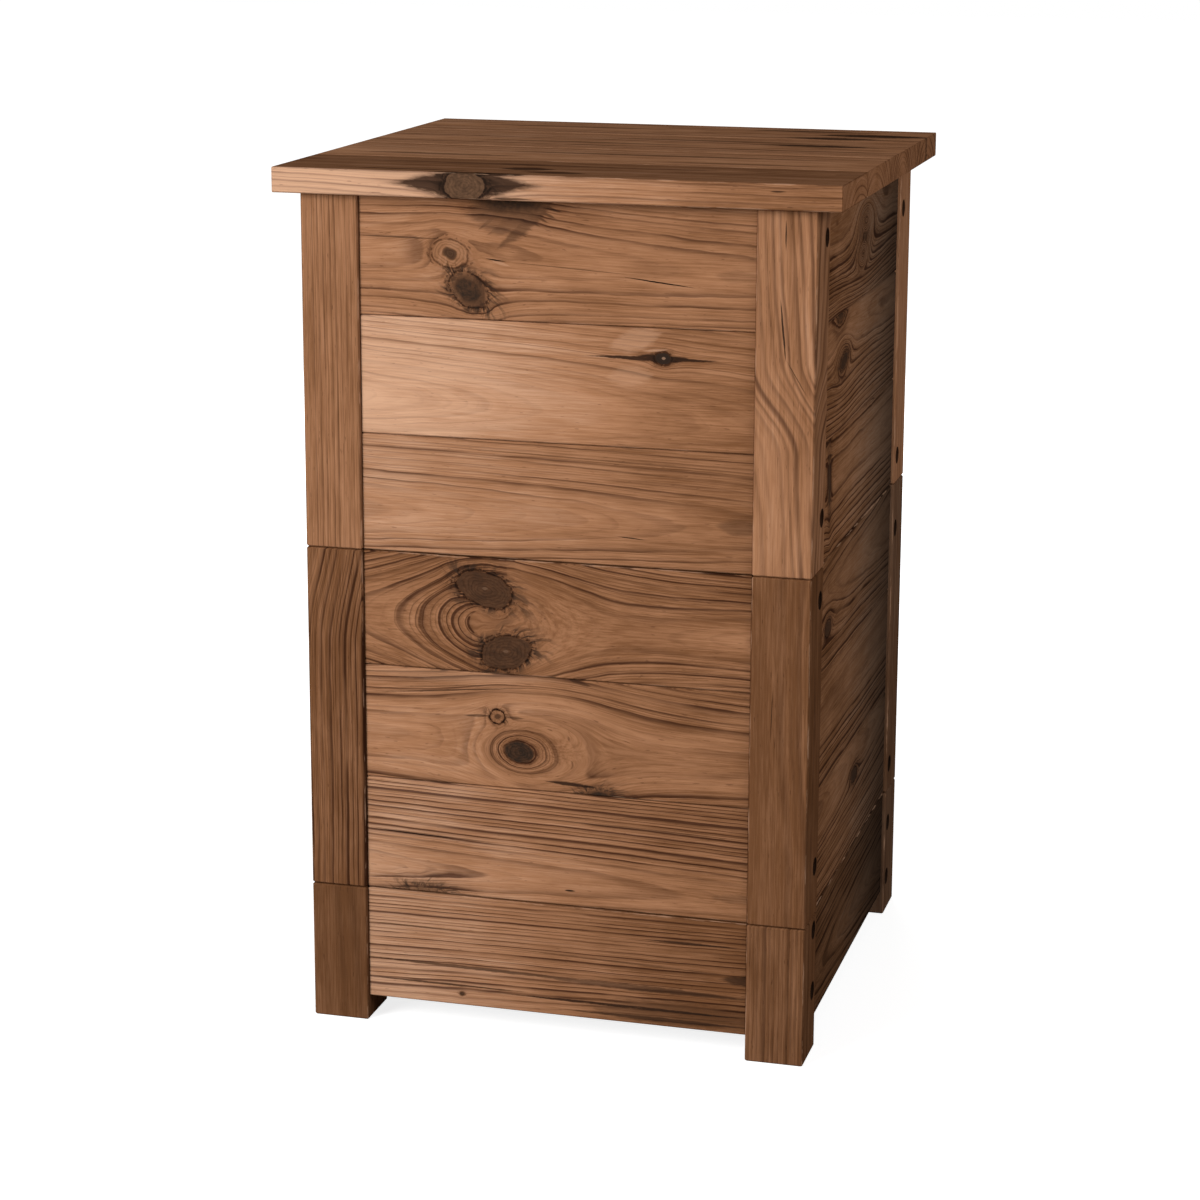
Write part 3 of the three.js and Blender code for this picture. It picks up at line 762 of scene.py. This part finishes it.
def timber(name, axes, look, screws=()):
    """A material for one sawn piece, with its own rings, knots, streaks and splits."""
    cut = look.cut
    stain = bpy.context.scene.wormery_timber
    low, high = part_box(name)
    material, tree, shader = new_material(name + "_wood")
    point = object_point(tree)

    def laid(axes):
        """The place in the piece, in millimetres along three axes."""
        sides = dict(zip(("grain", "across", "inward"), axes))
        return tree.group(sawn_place, point=point, middle=tuple((low + high) / 2), **sides).place

    def marked(sofar, items, place):
        """Adds streaks to a mask, which keeps the stronger mark wherever two meet."""
        for item in items:
            sofar = tree.group(dark_streak, place=place, sofar=sofar, **item._asdict()).sofar
        return sofar

    place = laid(axes)
    warped, marks, inside, near = place, ORIGIN, 0, 0
    for swell in look.swells:
        node = tree.group(grain_swell, place=place, warped=warped, near=near, **swell._asdict())
        warped, near = node.warped, node.near
    for knot in look.knots:
        node = tree.group(
            branch_knot, place=place, warped=warped, marks=marks, inside=inside, **knot._asdict(),
        )
        warped, marks, inside = node.warped, node.marks, node.inside
    if look.knots:
        near = near + marks.parts()[2]
    streak = marked(0, look.streaks, place)
    if look.topside:
        streak = marked(streak, look.topside, laid(LID_AXES))
    # Painted shade inside each counterbore, laid into the streak mask
    for screw in screws:
        streak = tree.group(bore_shade, point=point, screw=tuple(screw), sofar=streak).sofar
    half = Vector([abs(Vector(axis).dot(high - low)) / 2 / MM for axis in axes])
    along, across, inward = place.parts()
    # Tone along the grain; on the front wall the paler left ends are partly a painted highlight from the key
    # lamp
    tone = tree.smooth(along, -half.x, half.x, cut.start, cut.end)
    if look.topside:
        tone = tree.smooth(inward, TOPSIDE_START - half.z, TOPSIDE_END - half.z, tone, LID_TOP_TONE)
    saw = {key: getattr(cut, key) for key in RING_FIELDS}
    rings = tree.group(growth_rings, warped=warped, near=near, **saw)
    fibre = tree.group(wood_fibre, warped=warped, seed=cut.seed)
    worn = tree.group(worn_arris, place=place, half=tuple(half), seed=cut.seed)
    stains = {f"{key}_stain": (*getattr(stain, key), 1) for key in ("dark", "honey", "pale", "knot")}
    face = tree.group(
        stained_face, tone=tone, contrast=cut.late, late=rings.late, band=rings.band,
        # Shade, fading along the piece: partly painted shade where less light falls
        shade=tree.smooth(along, -half.x, half.x, cut.shade, cut.shade * cut.fade),
        fibre=fibre.fibre, dash=fibre.dash, blotch=fibre.blotch, marks=marks, inside=inside,
        streak=streak, split=marked(0, look.splits, place),
        # Painted shade in the seams between boards
        seam=tree.smooth(abs(across), half.y - SEAM_START, half.y - SEAM_FULL),
        wear=tree.most(worn.wear, marked(0, look.patches, place)), end=worn.end, **stains,
    )
    tree.feed(shader["Base Color"], face.color)
    tree.feed(shader["Roughness"], face.roughness)
    tree.feed(shader["Normal"], relief(tree, face.height))
    tree.feed(shader["Specular IOR Level"], 0)
    return material


def dress(name, material, rounding=WOOD_EDGE):
    """Gives a packed piece its material, and eases its sharp edges."""
    piece = NODES[name]
    piece.data.materials.clear()
    piece.data.materials.append(material)
    weld = piece.modifiers.new("join the faces", "WELD")
    weld.merge_threshold = WELD_REACH
    bevel = piece.modifiers.new("eased edges", "BEVEL")
    bevel.width = rounding
    bevel.segments = 2
    bevel.limit_method = "ANGLE"
    bevel.angle_limit = SHARP_ANGLE


def seeded(name):
    """A steady number for a name, to vary pieces that have no cut of their own."""
    return sum((index + 3) * ord(letter) for index, letter in enumerate(name)) % 911 / 9.1


def usual_cut(name, **changes):
    """A plausible cut for a piece that the viewer sees less of."""
    turn = seeded(name)
    cut = Cut(
        pith=((turn * 7) % 60) - 30,
        depth=22 + (turn * 5) % 26,
        taper=((turn * 3) % 10 - 5) / 90,
        ring=4.6 + (turn * 11) % 3,
        wander=5 + (turn * 13) % 5,
        seed=turn,
        start=0.16 + (turn * 17) % 3 / 12,
        end=0.16 + (turn * 19) % 3 / 12,
    )
    return cut._replace(**changes)


def usual_knots(name, half_length, half_width):
    """One or two branches, placed by the name of the piece."""
    turn = seeded(name)
    first = Knot(
        along=(turn * 37) % (1.4 * half_length) - 0.7 * half_length,
        across=(turn * 23) % (1.4 * half_width) - 0.7 * half_width,
        radius=4 + (turn * 3) % 6,
        stretch=1.2 + (turn * 7) % 0.5,
        bulge=3 + (turn * 5) % 6,
    )
    second = first._replace(
        along=-first.along * 0.8 + 20, across=-first.across * 0.7, radius=3.5 + (turn * 9) % 5, core=0.6
    )
    return (first, second) if turn % 3 > 1.2 else (first,)


def board_nodes():
    """Each wall board with its wall's side."""
    for tray in TRAYS:
        for side in WALL_AXES:
            for course in COURSES:
                yield f"{tray}_board_{side}_{course}", side
    for side in ("front", "right", "left"):
        yield f"base_board_{side}", side
    yield "base_rear_rail", "rear"
    yield "sump_drawer_front", "rear"


def post_nodes():
    """Each post and leg with its two corner words and the body that it rides on."""
    for unit, word in (("upper_tray", "post"), ("middle_tray", "post"), ("base", "leg")):
        for depth in ("front", "rear"):
            for side in ("left", "right"):
                yield f"{unit}_{word}_{depth}_{side}", unit, depth, side


class WormeryTimber(bpy.types.PropertyGroup):
    """Colours of the stained softwood."""

    dark: bpy.props.FloatVectorProperty(
        name="Dark stain", description="Stained wood at its darkest, between the rings",
        default=(0.2, 0.084, 0.035), subtype="COLOR", size=3, min=0, max=1,
    )
    honey: bpy.props.FloatVectorProperty(
        name="Honey stain", description="Stained wood between dark and pale",
        default=(0.42, 0.2, 0.1), subtype="COLOR", size=3, min=0, max=1,
    )
    pale: bpy.props.FloatVectorProperty(
        name="Pale stain", description="Stained wood at its palest",
        default=(0.66, 0.385, 0.24), subtype="COLOR", size=3, min=0, max=1,
    )
    knot: bpy.props.FloatVectorProperty(
        name="Knot", description="Stained knots and pitch streaks",
        default=(0.034, 0.0215, 0.0152), subtype="COLOR", size=3, min=0, max=1,
    )


class WormeryHardware(bpy.types.PropertyGroup):
    """Sizes and colours of the screws and the sump."""

    head_radius: bpy.props.FloatProperty(
        name="Head radius", description="Radius of a post screw's head",
        default=4.2 * MM, unit="LENGTH", subtype="DISTANCE",
    )
    head_height: bpy.props.FloatProperty(
        name="Head height", description="Height of a post screw's domed head",
        default=2.2 * MM, unit="LENGTH", subtype="DISTANCE",
    )
    steel: bpy.props.FloatVectorProperty(
        name="Steel", description="Colour of the plated screws",
        default=(0.06, 0.042, 0.028), subtype="COLOR", size=3, min=0, max=1,
    )
    plastic: bpy.props.FloatVectorProperty(
        name="Plastic", description="Colour of the clean sump tray",
        default=(0.01298, 0.0137, 0.01298), subtype="COLOR", size=3, min=0, max=1,
    )
    dust: bpy.props.FloatVectorProperty(
        name="Dust", description="Colour of the sump tray where dust lies on it",
        default=(0.03955, 0.03689, 0.03071), subtype="COLOR", size=3, min=0, max=1,
    )


class WormeryStudio(bpy.types.PropertyGroup):
    """The camera's stand and the light."""

    azimuth: bpy.props.FloatProperty(
        name="Azimuth", description="How far round the camera stands",
        default=math.radians(15.264), subtype="ANGLE", unit="ROTATION",
    )
    elevation: bpy.props.FloatProperty(
        name="Elevation", description="How far up the camera looks from",
        default=math.radians(12.899), subtype="ANGLE", unit="ROTATION",
    )
    roll: bpy.props.FloatProperty(
        name="Roll", description="How far the camera leans",
        default=math.radians(0.208), subtype="ANGLE", unit="ROTATION",
    )
    distance: bpy.props.FloatProperty(
        name="Distance", description="From the camera to the point it looks at",
        default=2.5626, unit="LENGTH", subtype="DISTANCE",
    )
    lens: bpy.props.FloatProperty(
        name="Lens", description="Focal length in millimetres", default=90.87, min=10,
    )
    key: bpy.props.FloatProperty(
        name="Key light", description="Power of the large lamp in front and to the left",
        default=87, unit="POWER",
    )
    side: bpy.props.FloatProperty(
        name="Side light", description="Power of the weaker lamp on the right", default=26, unit="POWER",
    )
    back: bpy.props.FloatProperty(
        name="Back light", description="Power of the low lamp behind, for the rear and left walls",
        default=30, unit="POWER",
    )
    fill: bpy.props.FloatProperty(
        name="Fill", description="Strength of the even light from all round", default=0.15, min=0,
    )


class WORMERY_OT_front_boards(bpy.types.Operator):
    """Dresses the seven boards of the front wall, each with the knots that show on it"""

    bl_idname = "wormery.front_boards"
    bl_label = "Front Boards"

    def execute(self, context):
        for name, side in board_nodes():
            if side == "front":
                dress(name, timber(name, WALL_AXES[side], FRONT[name]))
        return {"FINISHED"}


class WORMERY_OT_side_boards(bpy.types.Operator):
    """Dresses the boards of the other three walls"""

    bl_idname = "wormery.side_boards"
    bl_label = "Side and Rear Boards"

    def execute(self, context):
        for name, side in board_nodes():
            if side == "right":
                dress(name, timber(name, WALL_AXES[side], self.right_look(name)))
            elif side != "front":
                low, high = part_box(name)
                half_length = abs(Vector(WALL_AXES[side][0]).dot(high - low)) / 2 / MM
                half_width = (high.z - low.z) / 2 / MM
                look = Look(usual_cut(name, late=1.2), usual_knots(name, half_length, half_width))
                dress(name, timber(name, WALL_AXES[side], look))
        return {"FINISHED"}

    @staticmethod
    def right_look(name):
        """The wall on the right darkens to the rear, and from one unit down to the next."""
        shade, ring, late = 0.88, 3.6, 1.8
        if name == "upper_tray_board_right_top":
            shade, ring, late = 0.78, 3, 2.7
        elif "middle_tray" in name:
            shade = 0.72
        elif "base" in name:
            shade = 0.42
        cut = usual_cut(
            name, late=late, ring=ring, wander=2.5, start=0.14, end=1, shade=shade, fine=0.5, fade=0.14,
        )
        return RIGHT.get(name, Look())._replace(cut=cut)


class WORMERY_OT_posts(bpy.types.Operator):
    """Dresses the posts and legs"""

    bl_idname = "wormery.posts"
    bl_label = "Posts and Legs"

    def execute(self, context):
        for name, *_ in post_nodes():
            look = POSTS.get(name) or Look(usual_cut(name, shade=0.85))
            dress(name, timber(name, POST_AXES, look, counterbores(name)[1]))
        return {"FINISHED"}


class WORMERY_OT_lid(bpy.types.Operator):
    """Dresses the lid's four boards and two battens"""

    bl_idname = "wormery.lid"
    bl_label = "Lid"

    def execute(self, context):
        for name, look in LID.items():
            cut = usual_cut(name, taper=0.01, wander=2.5, start=0.5, end=0.4, late=1.2)
            if name == LID_FRONT:
                # The lid's front edge is paler at its left end, partly a painted highlight where the key
                # lamp falls strongest
                cut = cut._replace(pith=-60, depth=20, ring=3.6, start=1.25, end=0.2, late=0.7)
            axes = WALL_AXES["front"] if name == LID_FRONT else LID_AXES
            dress(name, timber(name, axes, look._replace(cut=cut)))
        for name in ("lid_batten_left", "lid_batten_right"):
            dress(name, timber(name, BEARER_AXES, Look(usual_cut(name))))
        return {"FINISHED"}


class WORMERY_OT_inner_timber(bpy.types.Operator):
    """Dresses the tray floors, their bearers, the sump's runners and the drawer's pull"""

    bl_idname = "wormery.inner_timber"
    bl_label = "Inner Timber"

    def execute(self, context):
        for tray in TRAYS:
            floor = f"{tray}_floor"
            dress(floor, timber(floor, LID_AXES, Look(usual_cut(floor, shade=0.9))))
        for stem in (*(f"{tray}_floor_bearer" for tray in TRAYS), "base_sump_runner"):
            for side in ("left", "right"):
                name = f"{stem}_{side}"
                dress(name, timber(name, BEARER_AXES, Look(usual_cut(name))))
        pull = "sump_drawer_pull"
        dress(pull, timber(pull, WALL_AXES["rear"], Look(usual_cut(pull))))
        return {"FINISHED"}


class WORMERY_OT_sump(bpy.types.Operator):
    """Dresses the sump tray's moulded plastic and its two screws"""

    bl_idname = "wormery.sump"
    bl_label = "Sump"

    def execute(self, context):
        hardware = context.scene.wormery_hardware
        material, tree, shader = new_material("sump_plastic")
        point = object_point(tree)
        dust = tree.noise(point * DUST_SCALE, 4, 0.6)
        colour = tree.mix(tree.smooth(dust, 0.4, 0.75), (*hardware.plastic, 1), (*hardware.dust, 1))
        tree.feed(shader["Base Color"], colour)
        tree.feed(shader["Roughness"], tree.smooth(dust, 0.3, 0.8, 0.38, 0.62))
        tree.feed(shader["Normal"], relief(tree, tree.noise(point * PEBBLE_SCALE, 2, 0.6), 0.08 * MM))
        dress("sump_tray", material, PLASTIC_EDGE)
        for side in ("left", "right"):
            dress(f"sump_drawer_screw_{side}", screw_steel(), METAL_EDGE)
        return {"FINISHED"}


def screw_steel():
    """Plated steel, dulled and scratched."""
    made = bpy.data.materials.get("dulled_steel")
    if made:
        return made
    material, tree, shader = new_material("dulled_steel")
    wear = tree.noise(object_point(tree) * SCRATCH_SCALE, 3, 0.6)
    steel = bpy.context.scene.wormery_hardware.steel
    worn = tuple(0.45 * part for part in steel)
    tree.feed(shader["Base Color"], tree.mix(tree.smooth(wear, 0.35, 0.7), (*steel, 1), (*worn, 1)))
    tree.feed(shader["Metallic"], 1)
    tree.feed(shader["Roughness"], tree.smooth(wear, 0.3, 0.8, 0.4, 0.65))
    tree.feed(shader["Normal"], relief(tree, wear, 0.04 * MM))
    return material


def counterbores(name):
    """Finds the middle of each counterbore's floor in a post, and the way that it faces."""
    low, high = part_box(name)
    outward = 1 if low.x + high.x > 0 else -1
    face = high.x if outward > 0 else low.x
    floor = []
    for vertex in NODES[name].data.vertices:
        if abs((face - vertex.co.x) * outward - BORE_DEPTH) < MM:
            floor.append(vertex.co)
    floor.sort(key=lambda corner: corner.z)
    gaps = [after.z - before.z for before, after in zip(floor, floor[1:])]
    parting = gaps.index(max(gaps)) + 1
    middles = []
    for ring in (floor[:parting], floor[parting:]):
        spans = [[corner[axis] for corner in ring] for axis in range(3)]
        middles.append(Vector((min(span) + max(span)) / 2 for span in spans))
    return outward, middles


def screw_mesh():
    """A domed head with a cross recess, on a tapering shank. It points along +X, from its seat."""
    hardware = bpy.context.scene.wormery_hardware
    radius, height = hardware.head_radius, hardware.head_height
    shape = bmesh.new()

    def hoop_of(width, along):
        """A ring of points round the screw's axis. Along tells where each lies on that axis."""
        turns = [math.tau * spoke / SCREW_SPOKES for spoke in range(SCREW_SPOKES)]
        points = [(width * math.cos(turn), width * math.sin(turn)) for turn in turns]
        return [shape.verts.new((along(across, up), across, up)) for across, up in points]

    def recess(across, up):
        across, up = abs(across) / MM, abs(up) / MM
        arms = min(
            max(across / ARM_HALF_WIDTH, up / ARM_REACH), max(up / ARM_HALF_WIDTH, across / ARM_REACH)
        )
        return RECESS_DEPTH * max(0, min(1, (1.25 - arms) / 0.5))

    def dome(across, up):
        part = math.hypot(across, up) / radius
        return height * math.sqrt(max(0, 1 - HEAD_CROWN * part * part)) - recess(across, up)

    rows = [hoop_of(radius * hoop / HEAD_HOOPS, dome) for hoop in range(1, HEAD_HOOPS + 1)]
    middle = shape.verts.new((height - recess(0, 0), 0, 0))
    for place, width in ((0, radius), *SHANK):
        rows.append(hoop_of(width, lambda across, up, place=place: place))
    for spoke in range(SCREW_SPOKES):
        after = (spoke + 1) % SCREW_SPOKES
        shape.faces.new((middle, rows[0][spoke], rows[0][after]))
        for inner, outer in zip(rows, rows[1:]):
            shape.faces.new((inner[spoke], outer[spoke], outer[after], inner[after]))
    shape.faces.new(rows[-1][::-1])
    bmesh.ops.recalc_face_normals(shape, faces=shape.faces)
    mesh = bpy.data.meshes.new("post_screw")
    shape.to_mesh(mesh)
    shape.free()
    for face in mesh.polygons:
        face.use_smooth = True
    mesh.materials.append(screw_steel())
    return mesh


class WORMERY_OT_screws(bpy.types.Operator):
    """Sets a cross-headed screw in each counterbore of the posts and legs"""

    bl_idname = "wormery.screws"
    bl_label = "Post Screws"

    def execute(self, context):
        mesh = screw_mesh()
        for name, unit, depth, side in post_nodes():
            outward, middles = counterbores(name)
            for middle, level in zip(middles, ("low", "high")):
                screw = bpy.data.objects.new(f"{unit}_screw_{depth}_{side}_{level}", mesh)
                upright = Matrix.Rotation(math.radians(seeded(screw.name) * 7), 4, "X")
                facing = Matrix.Rotation(0 if outward > 0 else math.pi, 4, "Z")
                seat = middle + Vector((outward * SCREW_CLEARANCE, 0, 0))
                screw.matrix_world = Matrix.Translation(seat) @ facing @ upright
                context.scene.collection.objects.link(screw)
                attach(screw, unit)
        return {"FINISHED"}


class WORMERY_OT_studio(bpy.types.Operator):
    """Lays the pale floor, hangs the lamps and sets the camera"""

    bl_idname = "wormery.studio"
    bl_label = "Studio"

    def execute(self, context):
        studio = context.scene.wormery_studio
        self.lay_floor()
        self.hang_light(studio)
        self.set_camera(studio)
        context.scene.view_settings.view_transform = "Standard"
        return {"FINISHED"}

    @staticmethod
    def seen_directly(tree):
        """1 for what the camera sees, also in glossy or clear pieces, and 0 for the light."""
        path = tree.node("ShaderNodeLightPath")
        camera, glossy, through = (
            tree.output(path, f"Is {ray} Ray") for ray in ("Camera", "Glossy", "Transmission")
        )
        return tree.most(tree.most(camera, glossy), through)

    def lay_floor(self):
        half = FLOOR_HALF
        mesh = bpy.data.meshes.new("studio_floor")
        corners = [(-half, -half, 0), (half, -half, 0), (half, half, 0), (-half, half, 0)]
        mesh.from_pydata(corners, [], [(0, 1, 2, 3)])
        floor = bpy.data.objects.new("studio_floor", mesh)
        bpy.context.scene.collection.objects.link(floor)
        material = bpy.data.materials.new("studio_floor")
        material.use_nodes = True
        material.node_tree.nodes.clear()
        tree = Tree(material.node_tree)
        pale = tree.node("ShaderNodeBsdfDiffuse", FLOOR_PALE)
        glow = tree.smooth(object_point(tree).length(), 0.35, 1.3, 0.8, 1)
        glowing = tree.node("ShaderNodeEmission", WHITE, glow)
        thin = tree.node("ShaderNodeBsdfDiffuse", FLOOR_SEEN)
        lit = tree.node("ShaderNodeAddShader", tree.output(glowing), tree.output(thin))
        seen = self.seen_directly(tree)
        mixed = tree.node("ShaderNodeMixShader", seen, tree.output(pale), tree.output(lit))
        tree.node("ShaderNodeOutputMaterial", tree.output(mixed))
        mesh.materials.append(material)

    def hang_light(self, studio):
        world = bpy.data.worlds.new("studio_world")
        bpy.context.scene.world = world
        world.use_nodes = True
        world.node_tree.nodes.clear()
        tree = Tree(world.node_tree)
        strength = tree.smooth(self.seen_directly(tree), 0, 1, studio.fill, 1)
        background = tree.node("ShaderNodeBackground", WHITE, strength)
        tree.node("ShaderNodeOutputWorld", tree.output(background))
        for name, (place, target, size) in LAMPS.items():
            self.lamp(name, place, target, getattr(studio, name), size)

    @staticmethod
    def lamp(name, place, target, power, size):
        data = bpy.data.lights.new(name, "AREA")
        data.shape = "DISK"
        data.size = size
        data.energy = power
        lamp = bpy.data.objects.new(name, data)
        lamp.location = place
        lamp.rotation_euler = (Vector(target) - Vector(place)).to_track_quat("-Z", "Y").to_euler()
        bpy.context.scene.collection.objects.link(lamp)

    @staticmethod
    def set_camera(studio):
        data = bpy.data.cameras.new("camera")
        data.lens = studio.lens
        data.sensor_width = SENSOR
        data.shift_y = CAMERA_SHIFT
        camera = bpy.data.objects.new("camera", data)
        flat = math.cos(studio.elevation)
        away = Vector((
            flat * math.sin(studio.azimuth), -flat * math.cos(studio.azimuth), math.sin(studio.elevation),
        ))
        camera.location = Vector(CAMERA_TARGET) + studio.distance * away
        turn = (-away).to_track_quat("-Z", "Y").to_matrix() @ Matrix.Rotation(studio.roll, 3, "Z")
        camera.rotation_euler = turn.to_euler()
        bpy.context.scene.collection.objects.link(camera)
        bpy.context.scene.camera = camera


class WORMERY_PT_dressing(bpy.types.Panel):
    """Lists the wormery's settings and operators"""

    bl_idname = "WORMERY_PT_dressing"
    bl_label = "Wormery"
    bl_space_type = "VIEW_3D"
    bl_region_type = "UI"
    bl_category = "Wormery"

    def draw(self, context):
        for title in SETTINGS:
            settings = getattr(context.scene, title)
            box = self.layout.box()
            for name in settings.__annotations__:
                box.prop(settings, name)
        for operator in OPERATORS:
            self.layout.operator(operator.bl_idname)


SETTINGS = {
    "wormery_timber": WormeryTimber, "wormery_hardware": WormeryHardware, "wormery_studio": WormeryStudio,
}
OPERATORS = (
    WORMERY_OT_studio,
    WORMERY_OT_front_boards,
    WORMERY_OT_side_boards,
    WORMERY_OT_posts,
    WORMERY_OT_lid,
    WORMERY_OT_inner_timber,
    WORMERY_OT_sump,
    WORMERY_OT_screws,
)
CLASSES = (*SETTINGS.values(), *OPERATORS, WORMERY_PT_dressing)


def register():
    for item in CLASSES:
        bpy.utils.register_class(item)
    for name, group in SETTINGS.items():
        setattr(bpy.types.Scene, name, bpy.props.PointerProperty(type=group))


def unregister():
    for name in SETTINGS:
        delattr(bpy.types.Scene, name)
    for item in reversed(CLASSES):
        bpy.utils.unregister_class(item)


def main():
    register()
    for operator in OPERATORS:
        section, name = operator.bl_idname.split(".")
        getattr(getattr(bpy.ops, section), name)()


if __name__ == "__main__":
    main()
